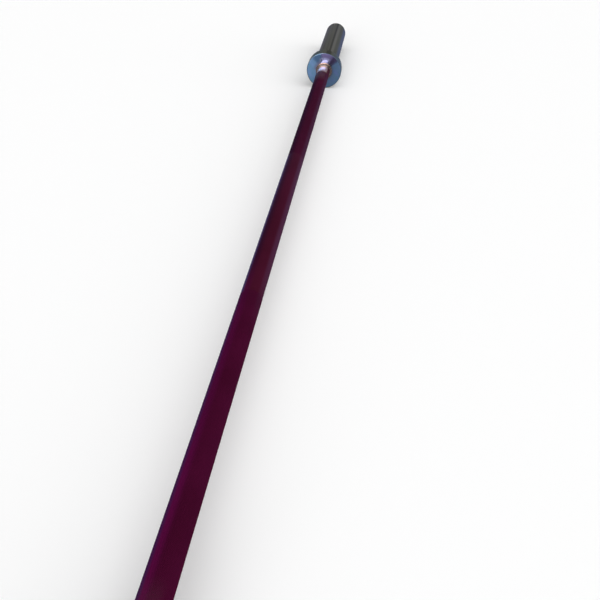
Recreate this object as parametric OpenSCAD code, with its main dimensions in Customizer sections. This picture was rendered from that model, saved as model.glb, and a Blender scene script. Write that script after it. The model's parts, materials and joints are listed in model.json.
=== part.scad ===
// Straight barbell with two free-spinning plate sleeves on bronze bushings.
// The bar lies along X. The origin is the middle of the bar, on its axis.

/* [Shaft] */
// Distance between the two collar faces, where the hands go
grip_length = 1250; // [900:10:1400]
// Diameter of the gripped shaft
shaft_d = 28; // [25:0.5:31]
// Height of the shoulder where the shaft steps down to each journal
shoulder_h = 1.5; // [1:0.25:2.5]
// Length of journal beyond its retaining ring
journal_tail = 5.5; // [4:0.5:8]
// Chamfer on the journal ends
journal_chamfer = 1.5; // [0.5:0.25:2.5]

/* [Collar] */
// Outside diameter of the collar
collar_d = 78; // [68:1:100]
// Width of the collar along the bar
collar_w = 24; // [17:1:34]
// Thickness of the web between the collar face and the sleeve seat
collar_web = 6; // [4:0.5:8]
// Chamfer around both edges of the collar
collar_chamfer = 1.5; // [0.5:0.25:3]

/* [Sleeve] */
// Outside diameter of the sleeve, which weight plates slide over
sleeve_d = 50; // [48.5:0.1:51]
// Length of sleeve that takes plates, from the collar to the end
sleeve_length = 266; // [180:2:440]
// Chamfer that guides plates on to the sleeve
sleeve_chamfer = 2.5; // [1:0.25:3]
// Depth by which the sleeve is turned down where the collar sits on it
seat_step = 0.5; // [0.2:0.1:1.5]
// Depth of the recess in the end of the sleeve
recess_depth = 30; // [27:1:50]

/* [Bushings] */
// Wall thickness of the flanged bronze bushings
bushing_wall = 3.5; // [2.5:0.1:4]
// Length of the bushing body behind its flange
bushing_length = 43; // [25:1:60]
// Height of the flange above the bushing body
flange_h = 2; // [1:0.1:2.5]
// Thickness of the flange
flange_t = 2; // [1:0.25:3]
// Chamfer around the flange's outer edge
flange_chamfer = 0.6; // [0.2:0.1:0.9]

/* [Thrust washers] */
// Thickness of the thrust washers
washer_t = 1.2; // [0.8:0.1:2]
// Width of the washer's ring
washer_w = 2.4; // [1.8:0.1:3]

/* [Retaining rings] */
// Thickness of the retaining ring on the journal
journal_ring_t = 2; // [1:0.25:3]
// Width of the journal ring's band
journal_ring_w = 3; // [2:0.25:4]
// Depth of the groove in the journal
journal_groove_h = 1; // [0.5:0.1:1.5]
// Thickness of the retaining ring in front of the end cap
cap_ring_t = 1.6; // [1:0.1:2.5]
// Width of the cap ring's band
cap_ring_w = 3.2; // [2.2:0.2:4]
// Depth of the groove in the sleeve
cap_groove_h = 1.2; // [0.5:0.1:1.6]
// Diameter of the lugs that pliers hold
lug_d = 4.4; // [3.6:0.2:5.4]
// Diameter of the holes in the lugs
lug_hole_d = 1.8; // [1:0.1:2.4]
// Angle of the gap between the lugs' centres
ring_gap_angle = 44; // [36:2:60]

/* [End cap] */
// Thickness of the cap's disc
cap_t = 4; // [2.5:0.5:7]
// Thickness of the cap's skirt
skirt_t = 1.5; // [1:0.1:2]
// Distance from the sleeve's end to the cap's retaining ring
rim_land = 2.5; // [1.5:0.5:5]
// Depth of the shallow dish in the cap's disc
dish_depth = 0.8; // [0.3:0.1:1.5]
// Width of the flat border round the dish
dish_border = 5; // [4:0.5:8]

/* [Collar pin] */
// Diameter of the spring pin that locks the collar to the sleeve
pin_d = 4; // [3:0.5:6]
// Wall thickness of the spring pin
pin_wall = 0.9; // [0.6:0.1:1.2]
// Width of the slit along the spring pin
pin_slit = 0.8; // [0.4:0.1:1.2]
// Depth that the pin reaches into the sleeve
pin_depth = 4; // [2:0.5:5]
// Depth that the pin sits below the collar's rim
pin_sink = 0.6; // [0.2:0.1:1.5]

/* [Fits] */
// Radial running gap between each journal and what turns on it
running_gap = 0.05; // [0.02:0.01:0.09]
// Gap at each thrust face, which gives the sleeve its end play
end_gap = 0.1; // [0.05:0.05:0.3]
// Gap in each pressed or shrunk seat
seat_gap = 0.02; // [0.01:0.01:0.05]
// Gap round the sleeve where it leaves the collar's bore
mouth_gap = 0.3; // [0.2:0.1:0.6]
// Gap between the cap's skirt and the bushing flange inside it
skirt_gap = 0.6; // [0.4:0.1:1]

/* [Hidden] */
$fn = 96;
overshoot = 1;

// Diameters, from the shaft outwards
journal_d = shaft_d - 2 * shoulder_h;
bushing_bore = journal_d + 2 * running_gap;
bushing_d = bushing_bore + 2 * bushing_wall;
flange_d = bushing_d + 2 * flange_h;
washer_d = bushing_bore + 2 * washer_w;
sleeve_bore = bushing_d + 2 * seat_gap;
seat_d = sleeve_d - 2 * seat_step;
recess_d = flange_d + 2 * (skirt_gap + skirt_t + seat_gap);

// Stations along the bar, as distances from its middle
collar_face = grip_length / 2;
sleeve_seat = collar_face + collar_web;
collar_back = collar_face + collar_w;
sleeve_end = collar_back + sleeve_length;
recess_floor = sleeve_end - recess_depth;

flange_face = collar_face - flange_t;
inner_washer_at = flange_face - end_gap - washer_t;
shoulder_at = inner_washer_at - end_gap;

outer_flange_face = recess_floor + flange_t;
outer_washer_at = outer_flange_face + end_gap;
journal_ring_at = outer_washer_at + washer_t + end_gap;
journal_end = journal_ring_at + journal_ring_t + journal_tail;

cap_ring_at = sleeve_end - rim_land - cap_ring_t;
cap_face = cap_ring_at;
cap_back = cap_face - cap_t;
pin_at = sleeve_seat + (collar_back - sleeve_seat) / 2;

steel_grey = "#9aa0a6";
burgundy = "#4a0d2c";
blue_zinc = "#6f93bb";
phosphate_grey = "#4b4b46";
bronze = "#b98a5e";
ring_black = "#2d2f33";

// A turned solid along X. Each point of its outline is [distance along the bar, radius].
module turned(outline) {
    rotate([90, 0, 90])
        rotate_extrude()
            polygon([for (p = outline) [p[1], p[0]]]);
}

// A plain ring along X, from one station over a length.
module ring(from, length, outer_d, inner_d) {
    turned([
        [from, inner_d / 2], [from + length, inner_d / 2],
        [from + length, outer_d / 2], [from, outer_d / 2]
    ]);
}

// A radial hole or pin that points down, between two radii, at one station.
module radial_cylinder(station, inner_r, outer_r, d) {
    translate([station, 0, -outer_r])
        cylinder(d = d, h = outer_r - inner_r);
}

// The left end is the mirror image of the right end.
module on_left() {
    mirror([1, 0, 0])
        children();
}

// One solid: the gripped length, a shoulder at each end, and the two grooved journals.
module shaft() {
    shaft_r = shaft_d / 2;
    journal_r = journal_d / 2;
    groove_r = journal_r - journal_groove_h;
    ring_back = journal_ring_at + journal_ring_t + seat_gap;
    half = [
        [shoulder_at, shaft_r], [shoulder_at, journal_r],
        [journal_ring_at - seat_gap, journal_r], [journal_ring_at - seat_gap, groove_r],
        [ring_back, groove_r], [ring_back, journal_r],
        [journal_end - journal_chamfer, journal_r], [journal_end, journal_r - journal_chamfer]
    ];
    other_half = [for (i = [len(half) - 1 : -1 : 0]) [-half[i][0], half[i][1]]];
    color(burgundy)
        turned(concat([[-journal_end, 0]], other_half, half, [[journal_end, 0]]));
}

// The stop that plates rest against. The sleeve is shrunk into a seat behind its web.
module collar() {
    outer_r = collar_d / 2;
    seat_r = seat_d / 2 + seat_gap;
    mouth_r = sleeve_d / 2 + mouth_gap;
    web_r = sleeve_bore / 2;
    color(blue_zinc)
        difference() {
            turned([
                [collar_face, web_r], [collar_face, outer_r - collar_chamfer],
                [collar_face + collar_chamfer, outer_r], [collar_back - collar_chamfer, outer_r],
                [collar_back, outer_r - collar_chamfer], [collar_back, mouth_r],
                [collar_back - (mouth_r - seat_r), seat_r], [sleeve_seat, seat_r], [sleeve_seat, web_r]
            ]);
            radial_cylinder(pin_at, 0, outer_r + overshoot, pin_d + 2 * seat_gap);
        }
}

// The tube that carries the plates, with a recess in its end for the cap and its ring.
module sleeve_tube() {
    outer_r = sleeve_d / 2;
    seat_r = seat_d / 2;
    bore_r = sleeve_bore / 2;
    recess_r = recess_d / 2;
    groove_r = recess_r + cap_groove_h;
    ring_front = cap_ring_at + cap_ring_t + seat_gap;
    color(phosphate_grey)
        difference() {
            turned([
                [sleeve_seat, bore_r], [sleeve_seat, seat_r], [collar_back, seat_r], [collar_back, outer_r],
                [sleeve_end - sleeve_chamfer, outer_r], [sleeve_end, outer_r - sleeve_chamfer],
                [sleeve_end, recess_r], [ring_front, recess_r], [ring_front, groove_r],
                [cap_ring_at, groove_r], [cap_ring_at, recess_r],
                [recess_floor, recess_r], [recess_floor, bore_r]
            ]);
            radial_cylinder(pin_at, seat_r - pin_depth, seat_r + overshoot, pin_d + 2 * seat_gap);
        }
}

// A flanged bush. The flange lies on the side that the direction, 1 or -1, points to.
module bushing(flange_seat, direction) {
    bore_r = bushing_bore / 2;
    body_r = bushing_d / 2;
    flange_r = flange_d / 2;
    flange_end = flange_seat + direction * flange_t;
    color(bronze)
        turned([
            [flange_seat - direction * bushing_length, bore_r],
            [flange_seat - direction * bushing_length, body_r],
            [flange_seat, body_r], [flange_seat, flange_r],
            [flange_end - direction * flange_chamfer, flange_r],
            [flange_end, flange_r - flange_chamfer], [flange_end, bore_r]
        ]);
}

module inner_bushing() {
    bushing(collar_face, -1);
}

module outer_bushing() {
    bushing(recess_floor, 1);
}

module thrust_washer(from) {
    color(steel_grey)
        ring(from, washer_t, washer_d, bushing_bore);
}

// A spring ring, open at the bottom, with a lug and a plier hole on each side of the gap.
module open_ring(from, thickness, inner_r, outer_r, lug_r) {
    half_gap = ring_gap_angle / 2;
    translate([from, 0, 0])
        rotate([90, 0, 90])
            difference() {
                union() {
                    rotate([0, 0, half_gap - 90])
                        rotate_extrude(angle = 360 - ring_gap_angle)
                            translate([inner_r, 0])
                                square([outer_r - inner_r, thickness]);
                    for (side = [-1, 1])
                        rotate([0, 0, side * half_gap - 90])
                            translate([lug_r, 0, 0])
                                cylinder(d = lug_d, h = thickness);
                }
                for (side = [-1, 1])
                    rotate([0, 0, side * half_gap - 90])
                        translate([lug_r, 0, -overshoot])
                            cylinder(d = lug_hole_d, h = thickness + 2 * overshoot);
            }
}

// Grips the journal's groove, with its lugs standing outwards.
module journal_ring() {
    inner_r = journal_d / 2 - journal_groove_h + seat_gap;
    color(ring_black)
        open_ring(journal_ring_at, journal_ring_t, inner_r, inner_r + journal_ring_w, inner_r + lug_d / 2);
}

// Springs into the sleeve's groove, with its lugs standing inwards.
module cap_ring() {
    outer_r = recess_d / 2 + cap_groove_h - seat_gap;
    color(ring_black)
        open_ring(cap_ring_at, cap_ring_t, outer_r - cap_ring_w, outer_r, outer_r - lug_d / 2);
}

// A dished disc with a skirt that reaches the floor of the recess.
module end_cap() {
    outer_r = recess_d / 2 - seat_gap;
    skirt_r = outer_r - skirt_t;
    dish_r = outer_r - dish_border;
    color(steel_grey)
        turned([
            [cap_back, 0], [cap_back, skirt_r], [recess_floor, skirt_r], [recess_floor, outer_r],
            [cap_face, outer_r], [cap_face, dish_r], [cap_face - dish_depth, dish_r - dish_depth],
            [cap_face - dish_depth, 0]
        ]);
}

// A slit spring pin, driven through the collar into the sleeve, below the rim.
module collar_pin() {
    inner_r = seat_d / 2 - pin_depth;
    outer_r = collar_d / 2 - pin_sink;
    color(ring_black)
        difference() {
            radial_cylinder(pin_at, inner_r, outer_r, pin_d);
            radial_cylinder(pin_at, inner_r - overshoot, outer_r + overshoot, pin_d - 2 * pin_wall);
            translate([pin_at, -pin_slit / 2, -outer_r - overshoot])
                cube([pin_d, pin_slit, outer_r - inner_r + 2 * overshoot]);
        }
}

shaft();

collar();  // right_collar
sleeve_tube();  // right_sleeve_tube
inner_bushing();  // right_inner_bushing
outer_bushing();  // right_outer_bushing
thrust_washer(inner_washer_at);  // right_inner_thrust_washer
thrust_washer(outer_washer_at);  // right_outer_thrust_washer
journal_ring();  // right_journal_ring
end_cap();  // right_end_cap
cap_ring();  // right_cap_ring
collar_pin();  // right_collar_pin

on_left() collar();  // left_collar
on_left() sleeve_tube();  // left_sleeve_tube
on_left() inner_bushing();  // left_inner_bushing
on_left() outer_bushing();  // left_outer_bushing
on_left() thrust_washer(inner_washer_at);  // left_inner_thrust_washer
on_left() thrust_washer(outer_washer_at);  // left_outer_thrust_washer
on_left() journal_ring();  // left_journal_ring
on_left() end_cap();  // left_end_cap
on_left() cap_ring();  // left_cap_ring
on_left() collar_pin();  // left_collar_pin
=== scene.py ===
# %% [markdown]
# A weightlifting bar with spinning sleeves.
# The real bar is a long steel shaft with a coat of burgundy paint. A sleeve at each end takes the plates.
# Each sleeve turns on two bronze bushings, behind a zinc-plated collar that stops the plates.
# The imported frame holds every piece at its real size, in metres. The bar lies along X, its middle at 0.
# This lesson dresses those pieces: it turns softer-edged ones on the same stations, and gives each metal
# its finish.

# %% Load the frame
import json
import math
import bmesh
import bpy
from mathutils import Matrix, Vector


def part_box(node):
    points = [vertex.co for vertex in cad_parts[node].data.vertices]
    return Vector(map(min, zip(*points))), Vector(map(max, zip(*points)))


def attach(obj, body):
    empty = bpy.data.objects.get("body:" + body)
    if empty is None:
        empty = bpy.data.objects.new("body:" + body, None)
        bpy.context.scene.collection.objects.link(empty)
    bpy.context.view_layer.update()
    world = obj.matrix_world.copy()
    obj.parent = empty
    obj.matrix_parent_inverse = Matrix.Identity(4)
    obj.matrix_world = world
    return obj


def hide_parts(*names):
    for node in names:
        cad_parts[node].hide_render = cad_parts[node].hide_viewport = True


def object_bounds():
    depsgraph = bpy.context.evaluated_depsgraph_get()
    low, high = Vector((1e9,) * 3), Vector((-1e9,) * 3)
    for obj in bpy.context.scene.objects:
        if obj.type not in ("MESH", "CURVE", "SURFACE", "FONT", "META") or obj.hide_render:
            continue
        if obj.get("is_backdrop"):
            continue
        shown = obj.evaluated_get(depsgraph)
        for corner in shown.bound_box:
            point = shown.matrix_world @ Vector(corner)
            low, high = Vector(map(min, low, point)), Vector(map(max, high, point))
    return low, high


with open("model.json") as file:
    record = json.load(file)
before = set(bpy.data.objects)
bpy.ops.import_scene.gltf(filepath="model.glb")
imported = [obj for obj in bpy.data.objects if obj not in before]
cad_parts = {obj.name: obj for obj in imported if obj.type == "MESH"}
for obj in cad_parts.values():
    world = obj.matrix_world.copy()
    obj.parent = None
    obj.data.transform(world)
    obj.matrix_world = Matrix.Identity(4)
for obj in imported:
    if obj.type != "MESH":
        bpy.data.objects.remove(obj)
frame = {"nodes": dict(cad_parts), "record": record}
frame_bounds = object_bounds()
MM = 0.001
print("frame box", [[round(value, 4) for value in corner] for corner in frame_bounds])

# %% [markdown]
# Every piece sits where the frame says. Its stations along the bar and its radii could be typed in again,
# but read from the frame's boxes they can't disagree with it.
# A box only gives the outer limits.
# What lies inside them, such as a chamfer, is a named size in millimetres.

# %% Stations and radii of the right end
def reach(node):
    """Start and end along the bar, and the outer radius, of one node of the right end."""
    low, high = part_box(node)
    return low[0], high[0], high[2]


_, journal_end, shaft_r = reach("shaft")
collar_face, collar_back, collar_r = reach("right_collar")
sleeve_seat, sleeve_end, sleeve_r = reach("right_sleeve_tube")
flange_face, bushing_end, flange_r = reach("right_inner_bushing")
recess_floor, cap_face, cap_r = reach("right_end_cap")
inner_washer_start, _, _ = reach("right_inner_thrust_washer")
cap_ring_start, cap_ring_end, _ = reach("right_cap_ring")
journal_ring_start, journal_ring_end, _ = reach("right_journal_ring")
print("collar face at", round(collar_face / MM, 1), "mm, sleeve end at", round(sleeve_end / MM, 1), "mm")

# %% [markdown]
# The camera stands above the shaft and looks along it to the far collar.
# Its place was worked out from the straight edges of the shaft and the round ones of the collar.
# The bar is level and the camera isn't tilted sideways.
# So a place, a point to look at and a lens are all it needs.

# %% Camera
IMAGE_SIDE = 600
SENSOR_WIDTH = 36.0
FOCAL_PIXELS = 592
camera_place = Vector((-725.1, -137.1, 462.8)) * MM
camera_aim = Vector((-179.2, -59.7, 0.0)) * MM

camera_data = bpy.data.cameras.new("photo_camera")
camera_data.sensor_width = SENSOR_WIDTH
camera_data.lens = SENSOR_WIDTH * FOCAL_PIXELS / IMAGE_SIDE
camera = bpy.data.objects.new("photo_camera", camera_data)
camera.location = camera_place
camera.rotation_euler = (camera_aim - camera_place).to_track_quat("-Z", "Y").to_euler()
bpy.context.scene.collection.objects.link(camera)
bpy.context.scene.camera = camera
print("lens", round(camera_data.lens, 2), "mm")

# %% [markdown]
# Colours are written as the hex codes that a paint program shows. Blender's sockets hold linear values.
# One function turns the one into the other, and one more adds a node with its settings, values and links.

# %% Colour and node helpers
def srgb(code):
    """A hex colour as linear red, green and blue, with an alpha of 1."""
    channels = [int(code[start:start + 2], 16) / 255 for start in (1, 3, 5)]
    linear = [c / 12.92 if c <= 0.04045 else ((c + 0.055) / 1.055) ** 2.4 for c in channels]
    return (*linear, 1.0)


def add_node(tree, kind, inputs=None, stops=None, **settings):
    """Adds a node. An input is a value or another node's output, and stops are a colour ramp's."""
    node = tree.nodes.new(kind)
    for name, value in settings.items():
        setattr(node, name, value)
    for name, value in (inputs or {}).items():
        if isinstance(value, bpy.types.NodeSocket):
            tree.links.new(value, node.inputs[name])
        else:
            node.inputs[name].default_value = value
    if stops:
        ramp = node.color_ramp.elements
        while len(ramp) < len(stops):
            ramp.new(1.0)
        for element, (position, code) in zip(ramp, stops):
            element.position = position
            element.color = srgb(code)
    return node


def new_material(name):
    """A material that holds only a Principled shader and its output."""
    material = bpy.data.materials.new(name)
    material.use_nodes = True
    tree = material.node_tree
    tree.nodes.clear()
    shader = add_node(tree, "ShaderNodeBsdfPrincipled")
    add_node(tree, "ShaderNodeOutputMaterial", {"Surface": shader.outputs["BSDF"]})
    return material, tree, shader


print("a white of #ffffff is", srgb("#ffffff"))

# %% [markdown]
# The stage is a sheet of white paper that the two collars stand on.
# It could curve up behind the bar as a backdrop does. The room is white already, so a flat sheet will do.
# It is nearly white, and the light is only strong enough to show that colour about as it is written.

# %% Floor
FLOOR_SIDE = 12.0

floor_paper, tree, shader = new_material("matt_white_paper")
shader.inputs["Base Color"].default_value = srgb("#fafafa")
shader.inputs["Roughness"].default_value = 0.9
shader.inputs["Specular IOR Level"].default_value = 0.1

sheet = bmesh.new()
bmesh.ops.create_grid(sheet, x_segments=1, y_segments=1, size=FLOOR_SIDE / 2)
bmesh.ops.translate(sheet, verts=sheet.verts[:], vec=(0, 0, -collar_r))
floor_mesh = bpy.data.meshes.new("floor")
sheet.to_mesh(floor_mesh)
sheet.free()
floor_mesh.materials.append(floor_paper)
floor = bpy.data.objects.new("floor", floor_mesh)
bpy.context.scene.collection.objects.link(floor)
floor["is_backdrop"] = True
print("floor at", round(-collar_r / MM, 1), "mm")

# %% [markdown]
# The light is soft. The room behind the camera is bright, and the room ahead is dimmer.
# The dimmer room ahead leaves the far side of every edge in soft shade.
# The room is brighter on the right, which gives the round shaft a light side and a dark one.
# A wide window low behind the camera is what the collar's face and the bright patch of steel beside it
# throw back.
# It could be an area lamp, but a sun with a wide angle lights both ends of a long bar alike.

# %% Window
WINDOW_STRENGTH = 1.9
WINDOW_SPREAD = math.radians(34)
WINDOW_FROM = Vector((-0.97, 0.12, 0.21))

window_data = bpy.data.lights.new("window", "SUN")
window_data.energy = WINDOW_STRENGTH
window_data.angle = WINDOW_SPREAD
window = bpy.data.objects.new("window", window_data)
window.rotation_euler = (-WINDOW_FROM).to_track_quat("-Z", "Y").to_euler()
bpy.context.scene.collection.objects.link(window)
print("window", WINDOW_STRENGTH, "strong")

# %% [markdown]
# The room is the world's background. Its strength follows the direction that the light comes from.
# Where the camera or a mirror looks past the floor it sees plain white.
# So every view has the same background.

# %% Room
ROOM_BEHIND = 1.44
ROOM_AHEAD = 0.18
ROOM_TURNS_FROM = -0.05
ROOM_TURNS_TO = 0.30
ROOM_RIGHT = 1.7
ROOM_LEFT = 0.3

world = bpy.data.worlds.new("room")
world.use_nodes = True
room = world.node_tree
room.nodes.clear()
look = add_node(room, "ShaderNodeTexCoord")
look_axes = add_node(room, "ShaderNodeSeparateXYZ", {"Vector": look.outputs["Generated"]})
strength = add_node(room, "ShaderNodeMapRange",
                    {"Value": look_axes.outputs["X"], "From Min": ROOM_TURNS_FROM,
                     "From Max": ROOM_TURNS_TO, "To Min": ROOM_BEHIND, "To Max": ROOM_AHEAD},
                    interpolation_type="SMOOTHSTEP")
lean = add_node(room, "ShaderNodeMapRange",
                {"Value": look_axes.outputs["Y"], "From Min": -1.0, "From Max": 1.0,
                 "To Min": ROOM_RIGHT, "To Max": ROOM_LEFT})
leaning = add_node(room, "ShaderNodeMath", {0: strength.outputs["Result"], 1: lean.outputs["Result"]},
                   operation="MULTIPLY")
path = add_node(room, "ShaderNodeLightPath")
mirrored = add_node(room, "ShaderNodeMath",
                    {0: path.outputs["Is Glossy Ray"], 1: path.outputs["Is Transmission Ray"]})
seen = add_node(room, "ShaderNodeMath", {0: path.outputs["Is Camera Ray"], 1: mirrored.outputs["Value"]})
shown = add_node(room, "ShaderNodeMapRange",
                 {"Value": seen.outputs["Value"], "To Min": leaning.outputs["Value"]})
sky = add_node(room, "ShaderNodeBackground",
               {"Color": srgb("#ffffff"), "Strength": shown.outputs["Result"]})
add_node(room, "ShaderNodeOutputWorld", {"Surface": sky.outputs["Background"]})
bpy.context.scene.world = world
bpy.context.scene.view_settings.view_transform = "Standard"
print("room", ROOM_BEHIND, "behind and", ROOM_AHEAD, "ahead")

# %% [markdown]
# A lathe leaves fine rings, round the axis on a face and one behind the other along a cylinder.
# The tool's travel is the distance along the bar plus the radius, and it changes across both.
# A noise in one dimension over that travel draws uneven rings on every turned face, with no seam.
# The direction out from the axis tells one side of a piece from the other.
# An image could hold such marks too, but it would need a seam and would blur up close.

# %% Places on a turned piece
def lathe_places(tree):
    """Sockets for place, distance along the bar, direction out from the axis, radius and tool travel."""
    place = add_node(tree, "ShaderNodeTexCoord").outputs["Object"]
    axes = add_node(tree, "ShaderNodeSeparateXYZ", {"Vector": place})
    across = add_node(tree, "ShaderNodeCombineXYZ", {"Y": axes.outputs["Y"], "Z": axes.outputs["Z"]})
    outward = add_node(tree, "ShaderNodeVectorMath", {0: across.outputs["Vector"]}, operation="NORMALIZE")
    radius = add_node(tree, "ShaderNodeVectorMath", {0: across.outputs["Vector"]}, operation="LENGTH")
    travel = add_node(tree, "ShaderNodeMath", {0: axes.outputs["X"], 1: radius.outputs["Value"]})
    return {"place": place, "along": axes.outputs["X"], "outward": outward.outputs["Vector"],
            "radius": radius.outputs["Value"], "travel": travel.outputs["Value"]}


def facing(tree, where, side, within=1.0):
    """A mask for one side of a piece, as strong as the mask that it lies within.

    A side is three angles in degrees: its middle, counted from the top, how far from there the mask is
    full, and where it ends.
    """
    middle, full, end = (math.radians(angle) for angle in side)
    side_out = (0, -math.sin(middle), math.cos(middle))
    towards = add_node(tree, "ShaderNodeVectorMath", {0: where["outward"], 1: side_out},
                       operation="DOT_PRODUCT")
    mask = add_node(tree, "ShaderNodeMapRange",
                    {"Value": towards.outputs["Value"], "From Min": math.cos(end),
                     "From Max": math.cos(full), "To Max": within}, interpolation_type="SMOOTHSTEP")
    return mask.outputs["Result"]


def lay_over(tree, colour, layers):
    """A colour socket with other colours laid over it in turn, each as far as its mask says."""
    for mask, over in layers:
        # In a colour mix, input 0 is the factor, 6 and 7 are the colours, and output 2 is the result
        mixed = add_node(tree, "ShaderNodeMix", {0: mask, 6: colour, 7: over}, data_type="RGBA")
        colour = mixed.outputs[2]
    return colour


print("rings follow the tool's travel")

# %% [markdown]
# The shaft's coat is baked burgundy paint on steel, and it changes along the bar.
# The smooth middle and the knurled grips have tones of their own. A short smooth land lies by each collar.
# On the lands the coat is thin and brown, and one side of each has a bright patch.
# The patch is partly metal that mirrors and partly a pale painted highlight. It fades out before the
# knurl, and beside the ring it turns to a painted shade.
# Each stretch is a mask that rises between two stations, so no image has to be fitted to the bar.

# %% Stretches of the coat
LAND = 47 * MM
MIDDLE_HALF = 185 * MM
ZONE_EDGE = 1.5 * MM
# Across this stretch the far end's darker tones, a painted shade, fade in and the near end's tones fade
# out
FAR_SHADE_FROM = -260 * MM
FAR_SHADE_FULL = -100 * MM
# Where the near end's painted lit side grows lighter still
NEAREST_LIGHT_FROM = -355 * MM
NEAREST_LIGHT_FULL = -455 * MM
# Where the land's bright patch, partly a painted highlight, fades in
STEEL_HIGHLIGHT_ENDS = 1 * MM
STEEL_HIGHLIGHT_FULL = 17 * MM
# Where a painted shade beside the ring darkens the land's patch
RING_SHADE_REACHES = 16 * MM
RING_SHADE_FULL = 5 * MM
RING_SHADE_COVERS = 0.9
SHINE_FADE = 46 * MM
SHINE_BY_STEEL = 0.32

land_start = collar_face - LAND


def coat_stretches(tree, where):
    """Masks along the shaft: its ends, middle and lands, the painted highlight and painted shade on the
    lands, and the gloss.
    """
    along = where["along"]
    from_middle = add_node(tree, "ShaderNodeMath", {0: along}, operation="ABSOLUTE").outputs["Value"]
    ring_shade_start = collar_face - RING_SHADE_REACHES
    table = {
        "far": (along, FAR_SHADE_FROM, FAR_SHADE_FULL, 1.0, "SMOOTHSTEP"),
        "near": (along, FAR_SHADE_FULL, FAR_SHADE_FROM, 1.0, "SMOOTHSTEP"),
        "nearest": (along, NEAREST_LIGHT_FROM, NEAREST_LIGHT_FULL, 1.0, "SMOOTHSTEP"),
        "middle": (from_middle, MIDDLE_HALF, MIDDLE_HALF - ZONE_EDGE, 1.0, "LINEAR"),
        "land": (from_middle, land_start, land_start + ZONE_EDGE, 1.0, "LINEAR"),
        # The land's bright patch, partly a painted highlight, fades in here
        "steel_highlight_stretch": (from_middle, land_start + STEEL_HIGHLIGHT_ENDS, land_start + STEEL_HIGHLIGHT_FULL, 1.0, "SMOOTHSTEP"),
        # The mask named oil is the painted shade beside the ring
        "oil": (from_middle, ring_shade_start, collar_face - RING_SHADE_FULL, RING_SHADE_COVERS, "LINEAR"),
        "shine": (from_middle, land_start - SHINE_FADE, land_start, SHINE_BY_STEEL, "LINEAR"),
    }
    stretches = {}
    for name, (value, start, end, most, rise) in table.items():
        mask = add_node(tree, "ShaderNodeMapRange",
                        {"Value": value, "From Min": start, "From Max": end, "To Max": most},
                        interpolation_type=rise)
        stretches[name] = mask.outputs["Result"]
    return stretches


print("lands start", round(land_start / MM), "mm from the middle")

# %% [markdown]
# The coat's tones also change from side to side, and most of that is painted light and shade.
# The near half has a rosy painted lit side, lighter still towards its end, with a violet painted
# reflection at its edge.
# The far half is darker and browner as painted shade, with more painted shade along that same side.
# A grey painted reflection runs along the far half's other side.
# The middle is thinner and browner than the grips, with a blue painted reflection along one side.
# Faint clouds vary all of them.
# On the grips the points are lighter, partly rubbed coat and partly a painted highlight.
# The valleys are darker as painted shade, so the tone follows the radius.

# %% Tones of the coat
# Most of these sides are painted light, painted shade and painted reflections, not the paint's own colour
# Each side is the angle of its middle from the top, how far it is full and where it ends, in degrees
SHADED_SIDE = (-60, 20, 62)
GREY_REFLECTION_SIDE = (88, 28, 52)
NEAR_LIT_SIDE = (-50, 20, 55)
NEAREST_LIT_SIDE = (-50, 12, 46)
VIOLET_REFLECTION_EDGE = (-70, 18, 40)
BLUE_REFLECTION_EDGE = (-74, 23, 41)
CLOUD_THIN = 0.35
CLOUD_THICK = 0.65
KNURL_DEPTH = 0.40 * MM
KNURL_SUNK = 0.25 * MM
# The knurl's valleys are darkened as painted shade, and its points are lightened as rubbed coat and
# painted highlight
VALLEY_SHADE_TONE = 0.86
POINT_WEAR_HIGHLIGHT_TONE = 1.20

valley_r = shaft_r - KNURL_SUNK
point_r = valley_r + KNURL_DEPTH


def coat_colour(tree, where, stretches, clouds):
    """The paint's tones with painted light and shade, lighter on the knurl's points and painted shade in
    its valleys.
    """
    clouded = {}
    # The second pair is a darker wine, a painted shade for the far end
    for name, dark, light in (("wine", "#3c0923", "#430b29"), ("far_shade", "#370c20", "#3d0e25"),
                              ("thin", "#340b1b", "#3a0d20")):
        tone = add_node(tree, "ShaderNodeValToRGB", {"Fac": clouds},
                        stops=[(CLOUD_THIN, dark), (CLOUD_THICK, light)])
        clouded[name] = tone.outputs["Color"]
    # Over the paint lie its painted shade, painted light and painted reflections, end to end and side to
    # side
    coat = lay_over(tree, clouded["wine"], (
        # The far end's darker tones: painted shade
        (stretches["far"], clouded["far_shade"]),
        (stretches["middle"], clouded["thin"]),
        # Painted shade along one side of the far half
        (facing(tree, where, SHADED_SIDE, stretches["far"]), srgb("#28071e")),
        # A grey painted reflection along the other side of the far half
        (facing(tree, where, GREY_REFLECTION_SIDE, stretches["far"]), srgb("#3d1b30")),
        # A rosy painted lit side on the near half
        (facing(tree, where, NEAR_LIT_SIDE, stretches["near"]), srgb("#4b0a33")),
        # That lit side painted lighter still near the end
        (facing(tree, where, NEAREST_LIT_SIDE, stretches["nearest"]), srgb("#560b3b")),
        # A violet painted reflection at the edge of the near half
        (facing(tree, where, VIOLET_REFLECTION_EDGE, stretches["near"]), srgb("#411a47")),
        # A blue painted reflection along one side of the middle
        (facing(tree, where, BLUE_REFLECTION_EDGE, stretches["middle"]), srgb("#3b2d53")),
        (stretches["land"], srgb("#391a20"))))
    # Darker in the knurl's valleys, a painted shade, and lighter on its points, rubbed coat and painted
    # highlight
    valley_shade_point_wear = add_node(tree, "ShaderNodeMapRange",
                      {"Value": where["radius"], "From Min": valley_r, "From Max": point_r,
                       "To Min": VALLEY_SHADE_TONE, "To Max": POINT_WEAR_HIGHLIGHT_TONE})
    shaded_worn_coat = add_node(tree, "ShaderNodeVectorMath", {0: coat, "Scale": valley_shade_point_wear.outputs["Result"]},
                    operation="SCALE")
    return shaded_worn_coat.outputs["Vector"]


print("knurl from", round(valley_r / MM, 2), "to", round(point_r / MM, 2), "mm from the axis")

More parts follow.
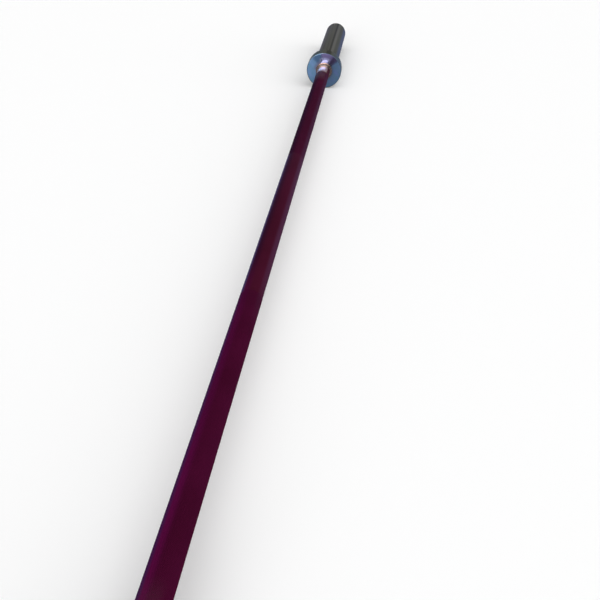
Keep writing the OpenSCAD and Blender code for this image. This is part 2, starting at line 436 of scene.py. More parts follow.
# %% [markdown]
# The finish itself is satin paint that hides the metal, so only its edges mirror the room.
# A trace of blue pearl in it shows at grazing angles, which is what a sheen does.
# The bright patch on each land is partly metallic, so it mirrors the collar, and partly a pale painted
# highlight.
# A thin clear layer shines on the smooth middle, and on the first knurls beside that patch.
# Paint over metal could be a mix of two shaders. One Principled shader does both here, and exports whole.

# %% Baked burgundy coat
# The side of the land's bright patch, which is partly a painted highlight
STEEL_HIGHLIGHT_SIDE = (-10, 28, 64)
CLOUD_SIZE = 60 * MM
SKIN_RIPPLE = 3 * MM
SKIN_DEPTH = 0.02 * MM
METAL_SHARE = 0.65
SHINE_ON_MIDDLE = 0.008

finishes = {}


def burgundy_coat():
    """Sprayed and baked coat: satin wine red, with a patch by each collar, partly mirroring steel, partly
    painted highlight.
    """
    material, tree, shader = new_material("baked_burgundy_coat")
    where = lathe_places(tree)
    stretches = coat_stretches(tree, where)
    clouds = add_node(tree, "ShaderNodeTexNoise",
                      {"Vector": where["place"], "Scale": 1 / CLOUD_SIZE, "Detail": 3.0}).outputs["Fac"]
    coat = coat_colour(tree, where, stretches, clouds)
    # The land's patch: partly metal that mirrors, and partly a pale painted highlight in the base colour
    steel_highlight = facing(tree, where, STEEL_HIGHLIGHT_SIDE, stretches["steel_highlight_stretch"])
    # Beside the ring the patch turns a dark brown, which is painted shade
    steel = lay_over(tree, srgb("#b8a8ae"), ((stretches["oil"], srgb("#66534f")),))
    colour = lay_over(tree, coat, ((steel_highlight, steel),))
    metal = add_node(tree, "ShaderNodeMath", {0: steel_highlight, 1: METAL_SHARE}, operation="MULTIPLY")
    satin = add_node(tree, "ShaderNodeMapRange", {"Value": clouds, "To Min": 0.40, "To Max": 0.50})
    gloss = add_node(tree, "ShaderNodeMapRange",
                     {"Value": steel_highlight, "To Min": satin.outputs["Result"], "To Max": 0.15})
    ripple = add_node(tree, "ShaderNodeTexNoise",
                      {"Vector": where["place"], "Scale": 1 / SKIN_RIPPLE, "Detail": 2.0})
    skin = add_node(tree, "ShaderNodeBump",
                    {"Height": ripple.outputs["Fac"], "Strength": 0.15, "Distance": SKIN_DEPTH})
    by_steel = facing(tree, where, STEEL_HIGHLIGHT_SIDE, stretches["shine"])
    clear = add_node(tree, "ShaderNodeMath", {0: stretches["middle"], 1: SHINE_ON_MIDDLE, 2: by_steel},
                     operation="MULTIPLY_ADD")
    tree.links.new(colour, shader.inputs["Base Color"])
    tree.links.new(metal.outputs["Value"], shader.inputs["Metallic"])
    tree.links.new(gloss.outputs["Result"], shader.inputs["Roughness"])
    tree.links.new(skin.outputs["Normal"], shader.inputs["Normal"])
    tree.links.new(clear.outputs["Value"], shader.inputs["Coat Weight"])
    shader.inputs["Coat Roughness"].default_value = 0.12
    # Every mirror shows the white room, which would wash out dark paint, so its shine is turned far down
    shader.inputs["Specular IOR Level"].default_value = 0.002
    shader.inputs["Sheen Weight"].default_value = 0.03
    shader.inputs["Sheen Roughness"].default_value = 0.35
    shader.inputs["Sheen Tint"].default_value = srgb("#5a68ff")
    return material


finishes["shaft_coat"] = burgundy_coat()
print("made", finishes["shaft_coat"].name)

# %% [markdown]
# The collars are turned steel with bright zinc, passivated in a bath that leaves a thin blue film.
# The film wanders a little in thickness. Over its slate lie painted reflections: sky blue on one side,
# lilac and violet on top.
# Just above the bore is a pale painted highlight, and low down beside the ring a painted shade dulls the
# metal.
# A thin film changes the metal's own colour, so it goes into the base colour and not into a layer on top,
# and so does the painted light.
# The rim rolls on floors and rubs on plates, so it is dull olive and mirrors nothing.
# Painted shade turns it dark teal on one side, a painted reflection turns it slate on the other, and a
# dark painted reflection line runs near the top.
# Its chamfer carries a painted highlight along one stretch.

# %% Colours of the zinc
FILM_SIZE = 9 * MM
RING_SHADE_TO = 23 * MM
FLANGE_COVERS = 18 * MM
RING_SHADE_STRENGTH = 0.7
BORE_HIGHLIGHT_WITHIN = 25.5 * MM
BORE_HIGHLIGHT_ENDS = 31 * MM
HALO_ENDS = 25 * MM
HALO_FULL = 19 * MM
CHAMFER_STARTS = 37.2 * MM
RIM_STARTS = 38.0 * MM
WEAR_EDGE = 0.4 * MM
# Sides of the painted reflections, painted highlight and painted shade on the collar
SKY_REFLECTION_SIDE = (-80, 10, 90)
DEEP_BLUE_REFLECTION = (-24, 10, 27)
VIOLET_REFLECTION_WEDGE = (39, 2, 22)
LILAC_REFLECTION_TOP = (10, 12, 28)
HALO_REFLECTION_SIDE = (-48, 24, 46)
RING_SHADE_SIDE = (130, 90, 150)
BORE_HIGHLIGHT_TOP = (3, 12, 34)
CHAMFER_HIGHLIGHT = (-35, 20, 46)
RIM_SHADED_SIDE = (-65, 20, 66)
RIM_REFLECTION_SIDE = (90, 20, 70)
RIM_DARK_REFLECTION_LINE = (14, 3, 11)


def zinc_rounds(tree, where):
    """Masks that follow the radius: painted shade, painted highlight and a painted reflection halo by the
    bore, then the chamfer and the rim.
    """
    table = {
        # The mask named oil is the painted shade low beside the ring
        "oil": (RING_SHADE_TO, FLANGE_COVERS, RING_SHADE_STRENGTH, "LINEAR"),
        # The mask named clear is the painted highlight above the bore, and halo is a painted reflection
        "clear": (BORE_HIGHLIGHT_ENDS, BORE_HIGHLIGHT_WITHIN, 1.0, "SMOOTHSTEP"),
        "halo": (HALO_ENDS, HALO_FULL, 1.0, "LINEAR"),
        "chamfer": (CHAMFER_STARTS, CHAMFER_STARTS + WEAR_EDGE, 1.0, "LINEAR"),
        "rim": (RIM_STARTS, RIM_STARTS + WEAR_EDGE, 1.0, "LINEAR"),
    }
    rounds = {}
    for name, (start, end, most, rise) in table.items():
        mask = add_node(tree, "ShaderNodeMapRange",
                        {"Value": where["radius"], "From Min": start, "From Max": end, "To Max": most},
                        interpolation_type=rise)
        rounds[name] = mask.outputs["Result"]
    return rounds


def zinc_colour(tree, where, rounds, tops):
    """The film's colour with painted reflections round the face, and the chamfer's painted highlight and
    the rim over them.
    """
    film = add_node(tree, "ShaderNodeTexNoise",
                    {"Vector": where["place"], "Scale": 1 / FILM_SIZE, "Detail": 2.0}).outputs["Fac"]
    slates = add_node(tree, "ShaderNodeValToRGB", {"Fac": film},
                      stops=[(0.30, "#4e6b83"), (0.50, "#536a8a"), (0.70, "#566893")])
    sky_reflection_blues = add_node(tree, "ShaderNodeValToRGB", {"Fac": film},
                     stops=[(0.30, "#628aa8"), (0.50, "#6889ae"), (0.70, "#6f8bb6")])
    # The chamfer, with a painted highlight along one stretch
    edge = lay_over(tree, srgb("#4a586a"), ((facing(tree, where, CHAMFER_HIGHLIGHT), srgb("#8398a8")),))
    # The rim's olive, with painted shade on one side, a painted reflection on the other and a dark painted
    # reflection line near the top
    rim_with_painted_light = lay_over(tree, srgb("#444640"), (
        (facing(tree, where, RIM_SHADED_SIDE), srgb("#2f424f")),
        (facing(tree, where, RIM_REFLECTION_SIDE), srgb("#37475a")),
        (facing(tree, where, RIM_DARK_REFLECTION_LINE), srgb("#2f302c"))))
    return lay_over(tree, slates.outputs["Color"], (
        # Painted reflections: sky blue on one side, and a deeper blue beside the top
        (facing(tree, where, SKY_REFLECTION_SIDE), sky_reflection_blues.outputs["Color"]),
        (facing(tree, where, DEEP_BLUE_REFLECTION), srgb("#4a6485")),
        # Painted reflections of the shaft: violet in a wedge and lilac on top
        (tops["violet_reflection"], srgb("#352e46")),
        (tops["lilac_reflection"], srgb("#5a5377")),
        # A pale painted reflection as a halo by the bore
        (facing(tree, where, HALO_REFLECTION_SIDE, rounds["halo"]), srgb("#73718c")),
        # A painted shade low beside the ring
        (facing(tree, where, RING_SHADE_SIDE, rounds["oil"]), srgb("#4b4a55")),
        # A pale painted highlight just above the bore
        (tops["clear"], srgb("#7c80a1")),
        (rounds["chamfer"], edge),
        (rounds["rim"], rim_with_painted_light)))


print("rim starts", round(RIM_STARTS / MM, 1), "mm from the axis")

# %% [markdown]
# Zinc plate is a metal that mirrors what is round it, with fine turned rings under the plating.
# Under the painted lilac and violet reflections the mirror is a little cloudy, so it blurs there.
# Just above the bore, under the painted highlight, it is polished clear again, and the window shows in it.

# %% Blue-passivated zinc
ZINC_RINGS = 0.9 * MM
ZINC_RING_DEPTH = 0.01 * MM
MIRROR_WITHIN = 23.5 * MM
MIRROR_ENDS = 26.5 * MM
CLOUDY_ROUGHNESS = 0.22


def blue_zinc():
    """Bright zinc plate: a blue mirror with painted reflections in slate and lilac, a dull rim and fine
    rings.
    """
    material, tree, shader = new_material("blue_passivated_zinc")
    where = lathe_places(tree)
    rounds = zinc_rounds(tree, where)
    # The tops are the painted reflections on top and the painted highlight just above the bore
    tops = {"violet_reflection": facing(tree, where, VIOLET_REFLECTION_WEDGE), "lilac_reflection": facing(tree, where, LILAC_REFLECTION_TOP),
            "clear": facing(tree, where, BORE_HIGHLIGHT_TOP, rounds["clear"])}
    colour = zinc_colour(tree, where, rounds, tops)
    polished = add_node(tree, "ShaderNodeMapRange",
                        {"Value": where["radius"], "From Min": MIRROR_ENDS, "From Max": MIRROR_WITHIN,
                         "To Max": tops["clear"]}, interpolation_type="SMOOTHSTEP")
    cloudy = add_node(tree, "ShaderNodeMath", {0: tops["lilac_reflection"], 1: tops["violet_reflection"]}, operation="MAXIMUM")
    satin = add_node(tree, "ShaderNodeMath", {0: cloudy.outputs["Value"], 1: polished.outputs["Result"]},
                     operation="SUBTRACT", use_clamp=True)
    # True turned marks are a quarter of this pitch, which is too fine to show here
    rings = add_node(tree, "ShaderNodeTexNoise",
                     {"W": where["travel"], "Scale": 1 / ZINC_RINGS, "Detail": 2.0},
                     noise_dimensions="1D")
    fine = add_node(tree, "ShaderNodeMapRange",
                    {"Value": rings.outputs["Fac"], "To Min": 0.05, "To Max": 0.14})
    gloss = add_node(tree, "ShaderNodeMath",
                     {0: satin.outputs["Value"], 1: CLOUDY_ROUGHNESS, 2: fine.outputs["Result"]},
                     operation="MULTIPLY_ADD")
    marks = add_node(tree, "ShaderNodeBump",
                     {"Height": rings.outputs["Fac"], "Strength": 0.2, "Distance": ZINC_RING_DEPTH})
    bright = add_node(tree, "ShaderNodeMath", {0: 1.0, 1: rounds["rim"]}, operation="SUBTRACT")
    tree.links.new(colour, shader.inputs["Base Color"])
    tree.links.new(bright.outputs["Value"], shader.inputs["Metallic"])
    tree.links.new(gloss.outputs["Value"], shader.inputs["Roughness"])
    tree.links.new(marks.outputs["Normal"], shader.inputs["Normal"])
    # The dull rim would mirror the white room too, so its shine is turned far down
    shader.inputs["Specular IOR Level"].default_value = 0.003
    return material


finishes["collar_zinc"] = blue_zinc()
print("made", finishes["collar_zinc"].name)

# %% [markdown]
# The sleeves are turned steel with a dark phosphate, a crystal layer that holds oil and shines little.
# It looks olive grey. Turned rings show through as faint bands, and sliding plates rub long streaks in it.
# The oil gives its edges a blue sheen, and a blue painted reflection lies along both sides.
# Near the top is a painted highlight line with a dark painted reflection line beside it.
# The streaks are a noise squeezed along the bar, which draws them long without a mark for each.

# %% Oiled phosphate
SLEEVE_RINGS = 1.4 * MM
SLEEVE_RING_DEPTH = 0.02 * MM
RING_SHARE = 0.2
RUB_WIDTH = 7 * MM
RUB_STRETCH = 0.02
# Sides and lines of painted reflections and a painted highlight on the sleeve
BLUE_REFLECTION_SIDE = (95, 22, 56)
OTHER_BLUE_REFLECTION_SIDE = (-105, 22, 62)
GREEN_LINE = (47, 4, 12)
HIGHLIGHT_LINE = (26, 3, 9)
DARK_REFLECTION_LINE = (14, 2, 7)


def oiled_phosphate():
    """Phosphate on turned steel: satin olive grey, faint bands round it and rubbed streaks along it."""
    material, tree, shader = new_material("oiled_phosphate")
    where = lathe_places(tree)
    # True turned marks are a quarter of this pitch, which is too fine to show here
    rings = add_node(tree, "ShaderNodeTexNoise",
                     {"W": where["travel"], "Scale": 1 / SLEEVE_RINGS, "Detail": 3.0},
                     noise_dimensions="1D")
    stretched = add_node(tree, "ShaderNodeVectorMath", {0: where["place"], 1: (RUB_STRETCH, 1, 1)},
                         operation="MULTIPLY")
    rubs = add_node(tree, "ShaderNodeTexNoise",
                    {"Vector": stretched.outputs["Vector"], "Scale": 1 / RUB_WIDTH})
    tone = add_node(tree, "ShaderNodeMath",
                    {0: rings.outputs["Fac"], 1: RING_SHARE, 2: rubs.outputs["Fac"]},
                    operation="MULTIPLY_ADD")
    bands = add_node(tree, "ShaderNodeValToRGB", {"Fac": tone.outputs["Value"]},
                     stops=[(0.35, "#42423a"), (0.85, "#52524a")])
    colour = lay_over(tree, bands.outputs["Color"], (
        # Blue painted reflections along both sides
        (facing(tree, where, BLUE_REFLECTION_SIDE), srgb("#3d4559")),
        (facing(tree, where, OTHER_BLUE_REFLECTION_SIDE), srgb("#3d4559")),
        (facing(tree, where, GREEN_LINE), srgb("#42443f")),
        # A painted highlight line near the top, and a dark painted reflection line beside it
        (facing(tree, where, HIGHLIGHT_LINE), srgb("#545450")),
        (facing(tree, where, DARK_REFLECTION_LINE), srgb("#393934"))))
    gloss = add_node(tree, "ShaderNodeMapRange",
                     {"Value": rings.outputs["Fac"], "To Min": 0.28, "To Max": 0.40})
    marks = add_node(tree, "ShaderNodeBump",
                     {"Height": rings.outputs["Fac"], "Strength": 0.3, "Distance": SLEEVE_RING_DEPTH})
    tree.links.new(colour, shader.inputs["Base Color"])
    tree.links.new(gloss.outputs["Result"], shader.inputs["Roughness"])
    tree.links.new(marks.outputs["Normal"], shader.inputs["Normal"])
    # Phosphate crystals scatter light, so the white room must not show in them
    shader.inputs["Specular IOR Level"].default_value = 0.001
    shader.inputs["Sheen Weight"].default_value = 0.04
    shader.inputs["Sheen Roughness"].default_value = 0.30
    shader.inputs["Sheen Tint"].default_value = srgb("#4a62ff")
    return material


finishes["sleeve_phosphate"] = oiled_phosphate()
print("made", finishes["sleeve_phosphate"].name)

# %% [markdown]
# The bushings are bearing bronze, turned and left bare. Only the flange shows, as a pale coppery ring.
# Its top carries a painted reflection that makes it bright towards its outer edge, and the rest of it is
# darker, a painted shade.
# One ramp holds every tone from shaded brown to lit copper, and the rings and the painted lit top choose
# from it.

# %% Bearing bronze
BRONZE_RINGS = 0.6 * MM
RING_TONES = 0.4
# Where the bronze's painted shade gives way to the painted reflection on its top
SHADED_WITHIN = 14.0 * MM
SHADE_EDGE = 3.0 * MM
LIT_TONES = 0.6
LIT_TOP = (-3, 18, 56)


def bearing_bronze():
    """Turned bronze: pale pinkish copper with fine rings, a painted reflection on top and painted shade
    elsewhere.
    """
    material, tree, shader = new_material("bearing_bronze")
    where = lathe_places(tree)
    # True turned marks are a third of this pitch, which is too fine to show here
    rings = add_node(tree, "ShaderNodeTexNoise",
                     {"W": where["travel"], "Scale": 1 / BRONZE_RINGS, "Detail": 2.0},
                     noise_dimensions="1D")
    painted_lit_outer = add_node(tree, "ShaderNodeMapRange",
                   {"Value": where["radius"], "From Min": SHADED_WITHIN,
                    "From Max": SHADED_WITHIN + SHADE_EDGE, "To Max": LIT_TONES})
    # The painted reflection on the top, towards the outer edge
    painted_lit_top = facing(tree, where, LIT_TOP, painted_lit_outer.outputs["Result"])
    tone = add_node(tree, "ShaderNodeMath", {0: rings.outputs["Fac"], 1: RING_TONES, 2: painted_lit_top},
                    operation="MULTIPLY_ADD")
    # The dark stops are painted shade, and the pale ones are the painted reflection on top
    colour = add_node(tree, "ShaderNodeValToRGB", {"Fac": tone.outputs["Value"]},
                      stops=[(0.12, "#594b47"), (0.28, "#6c5b55"), (0.72, "#a58a80"), (0.88, "#b0968b")])
    gloss = add_node(tree, "ShaderNodeMapRange",
                     {"Value": rings.outputs["Fac"], "To Min": 0.20, "To Max": 0.32})
    tree.links.new(colour.outputs["Color"], shader.inputs["Base Color"])
    tree.links.new(gloss.outputs["Result"], shader.inputs["Roughness"])
    shader.inputs["Metallic"].default_value = 1.0
    return material


finishes["bushing_bronze"] = bearing_bronze()
print("made", finishes["bushing_bronze"].name)

# %% [markdown]
# The small steel pieces have three finishes: ground washers, oil-blackened springs and bright turned caps.
# All three are metals with uneven rings, so one function makes them from two colours and two roughnesses.

# %% Steels
STEEL_RINGS = 0.8 * MM
STEEL_RING_DEPTH = 0.01 * MM


def turned_steel(name, dark, light, smooth, rough):
    """Bare or blackened steel: grey metal with fine rings, as bright as its two colours say."""
    material, tree, shader = new_material(name)
    where = lathe_places(tree)
    # True turned marks are a quarter of this pitch, which is too fine to show here
    rings = add_node(tree, "ShaderNodeTexNoise",
                     {"W": where["travel"], "Scale": 1 / STEEL_RINGS, "Detail": 3.0},
                     noise_dimensions="1D")
    colour = add_node(tree, "ShaderNodeValToRGB", {"Fac": rings.outputs["Fac"]},
                      stops=[(0.30, dark), (0.70, light)])
    gloss = add_node(tree, "ShaderNodeMapRange",
                     {"Value": rings.outputs["Fac"], "To Min": smooth, "To Max": rough})
    marks = add_node(tree, "ShaderNodeBump",
                     {"Height": rings.outputs["Fac"], "Strength": 0.25, "Distance": STEEL_RING_DEPTH})
    tree.links.new(colour.outputs["Color"], shader.inputs["Base Color"])
    tree.links.new(gloss.outputs["Result"], shader.inputs["Roughness"])
    tree.links.new(marks.outputs["Normal"], shader.inputs["Normal"])
    shader.inputs["Metallic"].default_value = 1.0
    return material


finishes["washer_steel"] = turned_steel("ground_washer_steel", "#6f6a66", "#86817c", 0.28, 0.40)
finishes["spring_steel"] = turned_steel("oil_black_spring_steel", "#2b2c30", "#3c3d42", 0.32, 0.45)
finishes["cap_steel"] = turned_steel("bright_turned_steel", "#6c6f73", "#8b8e91", 0.34, 0.48)
print(len(finishes), "finishes")

# %% [markdown]
# Nearly every piece of the bar came off a lathe, so nearly every mesh here is an outline spun round X.
# A Screw modifier could do that too. The spin operator leaves a plain mesh to drill or mirror next.
# The outline is a wire of a few corners. A corner bevel rounds them, and the spin carries the arcs round.
# Real edges are never sharp: the small arcs catch the light, which is what makes turned metal look solid.

# %% Turning an outline
TURN_STEPS = 128
ARC_SEGMENTS = 4
WELD = 0.001 * MM


def turned_mesh(outline, steps=TURN_STEPS, closed=True):
    """A bmesh spun round X from corners of (station, radius, rounding)."""
    shape = bmesh.new()
    corners = [shape.verts.new((station, 0, radius)) for station, radius, _ in outline]
    for start, end in zip(corners, corners[1:]):
        shape.edges.new((start, end))
    if closed:
        shape.edges.new((corners[-1], corners[0]))
    for rounding in sorted({corner[2] for corner in outline if corner[2] > 0}):
        sharp = [vert for vert, corner in zip(corners, outline) if corner[2] == rounding]
        bmesh.ops.bevel(shape, geom=sharp, offset=rounding, offset_type="OFFSET", segments=ARC_SEGMENTS,
                        profile=0.5, affect="VERTICES", material=-1)
    bmesh.ops.spin(shape, geom=shape.verts[:] + shape.edges[:], cent=(0, 0, 0), axis=(1, 0, 0),
                   angle=2 * math.pi, steps=steps, use_merge=True)
    bmesh.ops.remove_doubles(shape, verts=shape.verts[:], dist=WELD)
    bmesh.ops.recalc_face_normals(shape, faces=shape.faces[:])
    for face in shape.faces:
        face.smooth = True
    return shape


print("pieces are spun in", TURN_STEPS, "steps")

# %% [markdown]
# A finished mesh becomes an object that moves with a body of the frame and stands for one of its nodes.
# Every face was shaded smooth, so corners sharper than an angle are set apart here.

# %% Finishing a piece
FLAT_ANGLE = math.radians(32)


def finish_piece(shape, name, body, node, slot):
    """Makes the bmesh an object that rides a body, stands for a node and wears its finish."""
    mesh = bpy.data.meshes.new(name)
    shape.to_mesh(mesh)
    shape.free()
    mesh.set_sharp_from_angle(angle=FLAT_ANGLE)
    mesh.materials.append(finishes[slot])
    piece = bpy.data.objects.new(name, mesh)
    bpy.context.scene.collection.objects.link(piece)
    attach(piece, body)
    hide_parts(node)
    print(name, "has", len(mesh.polygons), "faces")
    return piece


print("corners past", round(math.degrees(FLAT_ANGLE)), "degrees stay sharp")

# %% [markdown]
# The shaft is one bar: a plain middle, and on each side a knurled grip, a smooth land and a journal.
# Only the right half's outline is turned. The left half will be its mirror image, which halves the work.
# The grip is turned down to the bottom of its grooves first, and the knurl is raised on it next.

# %% Half of the shaft
KNURLS_ROUND = 60
SHOULDER_H = 1.5 * MM
SHOULDER_GAP = 0.1 * MM
SHOULDER_ROUND = 0.4 * MM
GROOVE_H = 1.0 * MM
JOURNAL_CHAMFER = 1.5 * MM
SEAT_GAP = 0.02 * MM

shoulder_at = inner_washer_start - SHOULDER_GAP
journal_r = shaft_r - SHOULDER_H
groove_r = journal_r - GROOVE_H
knurl_start = MIDDLE_HALF
knurl_end = land_start
half_shaft = turned_mesh([
    (0, shaft_r, 0),
    (knurl_start - ZONE_EDGE, shaft_r, 0),
    (knurl_start, valley_r, 0),
    (knurl_end, valley_r, 0),
    (knurl_end + ZONE_EDGE, shaft_r, 0),
    (shoulder_at, shaft_r, SHOULDER_ROUND),
    (shoulder_at, journal_r, 0),
    (journal_ring_start - SEAT_GAP, journal_r, 0),
    (journal_ring_start - SEAT_GAP, groove_r, 0),
    (journal_ring_end + SEAT_GAP, groove_r, 0),
    (journal_ring_end + SEAT_GAP, journal_r, 0),
    (journal_end - JOURNAL_CHAMFER, journal_r, 0),
    (journal_end, journal_r - JOURNAL_CHAMFER, 0),
    (journal_end, 0, 0),
], steps=KNURLS_ROUND, closed=False)
print("grip from", round(knurl_start / MM), "to", round(knurl_end / MM), "mm")

# %% [markdown]
# A knurl is two sets of crossing grooves, here cut at 30 degrees, that leave diamonds 1.5 mm wide.
# It could be a bump in the material, but real pyramids catch the light and look right close by.
# The grip's long strips are cut into rows, poked in their middles and freed of their first edges.
# That leaves diamonds. Poking the diamonds again, with a height, raises each one to a point.

# %% Knurl
KNURL_ANGLE = math.radians(30)

diamond_width = 2 * math.pi * shaft_r / KNURLS_ROUND
diamond_length = diamond_width / math.tan(KNURL_ANGLE)
rows = round((knurl_end - knurl_start) / diamond_length)


def in_grip(element):
    """True if every corner of an edge or face lies within the knurled stretch."""
    return all(knurl_start - WELD < vert.co.x < knurl_end + WELD for vert in element.verts)


strips = [edge for edge in half_shaft.edges if in_grip(edge) and edge.calc_length() > diamond_length]
bmesh.ops.subdivide_edges(half_shaft, edges=strips, cuts=rows - 1, use_grid_fill=True)
squares = [face for face in half_shaft.faces if in_grip(face)]
first_edges = {edge for face in squares for edge in face.edges}
inner_edges = [edge for edge in first_edges if all(in_grip(face) for face in edge.link_faces)]
bmesh.ops.poke(half_shaft, faces=squares, center_mode="MEAN")
bmesh.ops.dissolve_edges(half_shaft, edges=inner_edges, use_verts=False)
diamonds = [face for face in half_shaft.faces if in_grip(face) and len(face.verts) == 4]
points = bmesh.ops.poke(half_shaft, faces=diamonds, offset=KNURL_DEPTH, center_mode="MEAN")
for face in points["faces"]:
    face.smooth = False
print(len(diamonds), "diamonds on each grip,", rows, "rows of", KNURLS_ROUND)

# %% [markdown]
# A mirror makes the left half and welds the two in the middle of the bar.
# A Mirror modifier could show the same, but the operator leaves one closed mesh.
# A mirror turns faces inside out, so the normals are worked out again.

# %% Whole shaft
bmesh.ops.mirror(half_shaft, geom=half_shaft.verts[:] + half_shaft.edges[:] + half_shaft.faces[:],
                 axis="X", merge_dist=WELD)
bmesh.ops.recalc_face_normals(half_shaft, faces=half_shaft.faces[:])
finish_piece(half_shaft, "knurled_shaft", "bar", "shaft", "shaft_coat")

# %% [markdown]
# The pieces of the right end are turned once, and once more for the left end with their stations negated.
# One function takes an outline of the right end and makes both, so the two ends can't differ.

# %% Both ends
SIDES = {"right": 1, "left": -1}


def turn_both(name, outline, slot):
    """Turns one outline for both ends, and returns the two pieces by side."""
    pieces = {}
    for side, sign in SIDES.items():
        shape = turned_mesh([(sign * station, radius, rounding) for station, radius, rounding in outline])
        piece_name = f"{side}_turned_{name}"
        pieces[side] = finish_piece(shape, piece_name, f"{side}_sleeve", f"{side}_{name}", slot)
    return pieces


print("ends:", list(SIDES))

# %% [markdown]
# The collar is a thick ring with a chamfer round both edges. Its web holds the bushing.
# Behind the web is the seat that the sleeve is shrunk into, with a small flare at its mouth.
# The outline goes once round that section, so the hidden seat is as true as the face.

# %% Collars
COLLAR_CHAMFER = 1.5 * MM
EDGE_ROUND = 0.35 * MM
SEAT_STEP = 0.5 * MM
MOUTH_GAP = 0.3 * MM
BUSHING_WALL = 3.5 * MM
RUNNING_GAP = 0.05 * MM

bushing_bore_r = journal_r + RUNNING_GAP
bushing_r = bushing_bore_r + BUSHING_WALL
sleeve_bore_r = bushing_r + SEAT_GAP
seat_r = sleeve_r - SEAT_STEP
collar_seat_r = seat_r + SEAT_GAP
mouth_r = sleeve_r + MOUTH_GAP
collars = turn_both("collar", [
    (collar_face, sleeve_bore_r, 0),
    (collar_face, collar_r - COLLAR_CHAMFER, EDGE_ROUND),
    (collar_face + COLLAR_CHAMFER, collar_r, EDGE_ROUND),
    (collar_back - COLLAR_CHAMFER, collar_r, EDGE_ROUND),
    (collar_back, collar_r - COLLAR_CHAMFER, EDGE_ROUND),
    (collar_back, mouth_r, 0),
    (collar_back - (mouth_r - collar_seat_r), collar_seat_r, 0),
    (sleeve_seat, collar_seat_r, 0),
    (sleeve_seat, sleeve_bore_r, 0),
], "collar_zinc")

# %% [markdown]
# The sleeve is a thick tube. Plates slide over its chamfered end, and a recess in that end takes the cap.
# A groove in the recess takes the ring that holds the cap.

# %% Sleeves
SLEEVE_CHAMFER = 2.5 * MM
SLEEVE_ROUND = 0.9 * MM
RECESS_ROUND = 0.3 * MM
CAP_GROOVE_H = 1.2 * MM

recess_r = cap_r + SEAT_GAP
cap_groove_r = recess_r + CAP_GROOVE_H
sleeves = turn_both("sleeve_tube", [
    (sleeve_seat, sleeve_bore_r, 0),
    (sleeve_seat, seat_r, 0),
    (collar_back, seat_r, 0),
    (collar_back, sleeve_r, 0),
    (sleeve_end - SLEEVE_CHAMFER, sleeve_r, SLEEVE_ROUND),
    (sleeve_end, sleeve_r - SLEEVE_CHAMFER, SLEEVE_ROUND),
    (sleeve_end, recess_r, RECESS_ROUND),
    (cap_ring_end + SEAT_GAP, recess_r, 0),
    (cap_ring_end + SEAT_GAP, cap_groove_r, 0),
    (cap_ring_start, cap_groove_r, 0),
    (cap_ring_start, recess_r, 0),
    (recess_floor, recess_r, 0),
    (recess_floor, sleeve_bore_r, 0),
], "sleeve_phosphate")

# %% [markdown]
# A spring pin locks each collar to its sleeve, in one radial hole that is drilled through both from below.
# A boolean cut with a round cutter is the drill here, and the cutter is thrown away afterwards.

# %% Pin holes
DRILL_STEPS = 32


def drill_pin_hole(piece, pin):
    """Cuts the hole for one spring pin into a piece, from below the collar to the pin's inner end."""
    pin_low, pin_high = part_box(pin)
    pin_at = (pin_low[0] + pin_high[0]) / 2
    hole_r = (pin_high[0] - pin_low[0]) / 2 + SEAT_GAP
    hole_top = pin_high[2] + SEAT_GAP
    hole_bottom = -2 * collar_r
    drill = bmesh.new()
    bmesh.ops.create_cone(drill, cap_ends=True, segments=DRILL_STEPS, radius1=hole_r, radius2=hole_r,
                          depth=hole_top - hole_bottom)
    bmesh.ops.translate(drill, verts=drill.verts[:], vec=(pin_at, 0, (hole_top + hole_bottom) / 2))
    drill_mesh = bpy.data.meshes.new("drill")
    drill.to_mesh(drill_mesh)
    drill.free()
    drill_tool = bpy.data.objects.new("drill", drill_mesh)
    bpy.context.scene.collection.objects.link(drill_tool)
    cut = piece.modifiers.new("pin_hole", "BOOLEAN")
    cut.operation = "DIFFERENCE"
    cut.solver = "EXACT"
    cut.object = drill_tool
    evaluated = piece.evaluated_get(bpy.context.evaluated_depsgraph_get())
    drilled = bpy.data.meshes.new_from_object(evaluated)
    piece.modifiers.remove(cut)
    undrilled = piece.data
    piece.data = drilled
    drilled.name = piece.name
    bpy.data.objects.remove(drill_tool)
    bpy.data.meshes.remove(drill_mesh)
    bpy.data.meshes.remove(undrilled)
    print(piece.name, "drilled at", round(pin_at / MM, 1), "mm")


for side in SIDES:
    drill_pin_hole(collars[side], f"{side}_collar_pin")
    drill_pin_hole(sleeves[side], f"{side}_collar_pin")

# %% [markdown]
# The inner bushing is a bronze tube pressed into the sleeve, with a flange at its front.
# The flange stands before the collar and shows as a coppery ring, so its edges are rounded with care.

# %% Inner bushings
FLANGE_CHAMFER = 0.6 * MM
FLANGE_ROUND = 0.25 * MM
BORE_ROUND = 0.3 * MM

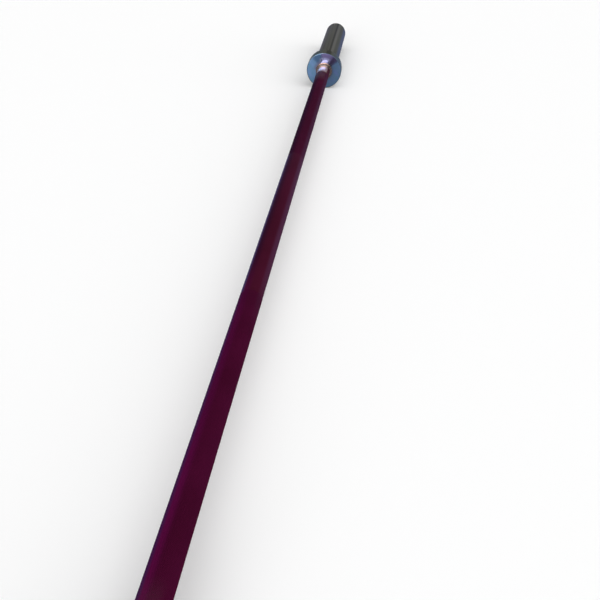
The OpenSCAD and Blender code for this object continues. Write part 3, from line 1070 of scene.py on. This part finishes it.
turn_both("inner_bushing", [
    (flange_face, bushing_bore_r, BORE_ROUND),
    (flange_face, flange_r - FLANGE_CHAMFER, FLANGE_ROUND),
    (flange_face + FLANGE_CHAMFER, flange_r, FLANGE_ROUND),
    (collar_face, flange_r, 0),
    (collar_face, bushing_r, 0),
    (bushing_end, bushing_r, 0),
    (bushing_end, bushing_bore_r, 0),
], "bushing_bronze")

# %% [markdown]
# The cap closes the sleeve's end. It is a shallow dish with a skirt, held by a spring ring in front of it.
# Its outline starts and ends on the axis, where the weld after the spin closes the two poles.

# %% End caps
CAP_T = 4.0 * MM
SKIRT_T = 1.5 * MM
DISH_DEPTH = 0.8 * MM
DISH_BORDER = 5.0 * MM
DISH_ROUND = 0.3 * MM

cap_back = cap_face - CAP_T
skirt_r = cap_r - SKIRT_T
dish_r = cap_r - DISH_BORDER
turn_both("end_cap", [
    (cap_back, 0, 0),
    (cap_back, skirt_r, 0),
    (recess_floor, skirt_r, 0),
    (recess_floor, cap_r, 0),
    (cap_face, cap_r, 0),
    (cap_face, dish_r, DISH_ROUND),
    (cap_face - DISH_DEPTH, dish_r - DISH_DEPTH, DISH_ROUND),
    (cap_face - DISH_DEPTH, 0, 0),
], "cap_steel")

# %% [markdown]
# The other pieces keep the frame's own meshes: washers, rings, pins and the outer bushings.
# They could be turned again too, but their shapes are right as they are and most lie inside the sleeve.
# So they only need their finishes.

# %% Finishes of the kept pieces
slot_of = {row["node"]: row["material_slot"] for row in frame["record"]["subparts"]}
KEPT = ("outer_bushing", "inner_thrust_washer", "outer_thrust_washer", "journal_ring", "cap_ring",
        "collar_pin")
for side in SIDES:
    for name in KEPT:
        node = f"{side}_{name}"
        for material_slot in frame["nodes"][node].material_slots:
            material_slot.material = finishes[slot_of[node]]
print(len(SIDES) * len(KEPT), "pieces keep their meshes")

# %% [markdown]
# Both boxes are printed, so the dressed bar's size can be set beside the frame's. The
# dressed bar must not outgrow the frame.

# %% Size of the dressed bar
sizes = {"frame": frame_bounds, "dressed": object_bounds()}
sizes = {name: [[float(value) for value in corner] for corner in box] for name, box in sizes.items()}
print("sizes", sizes)
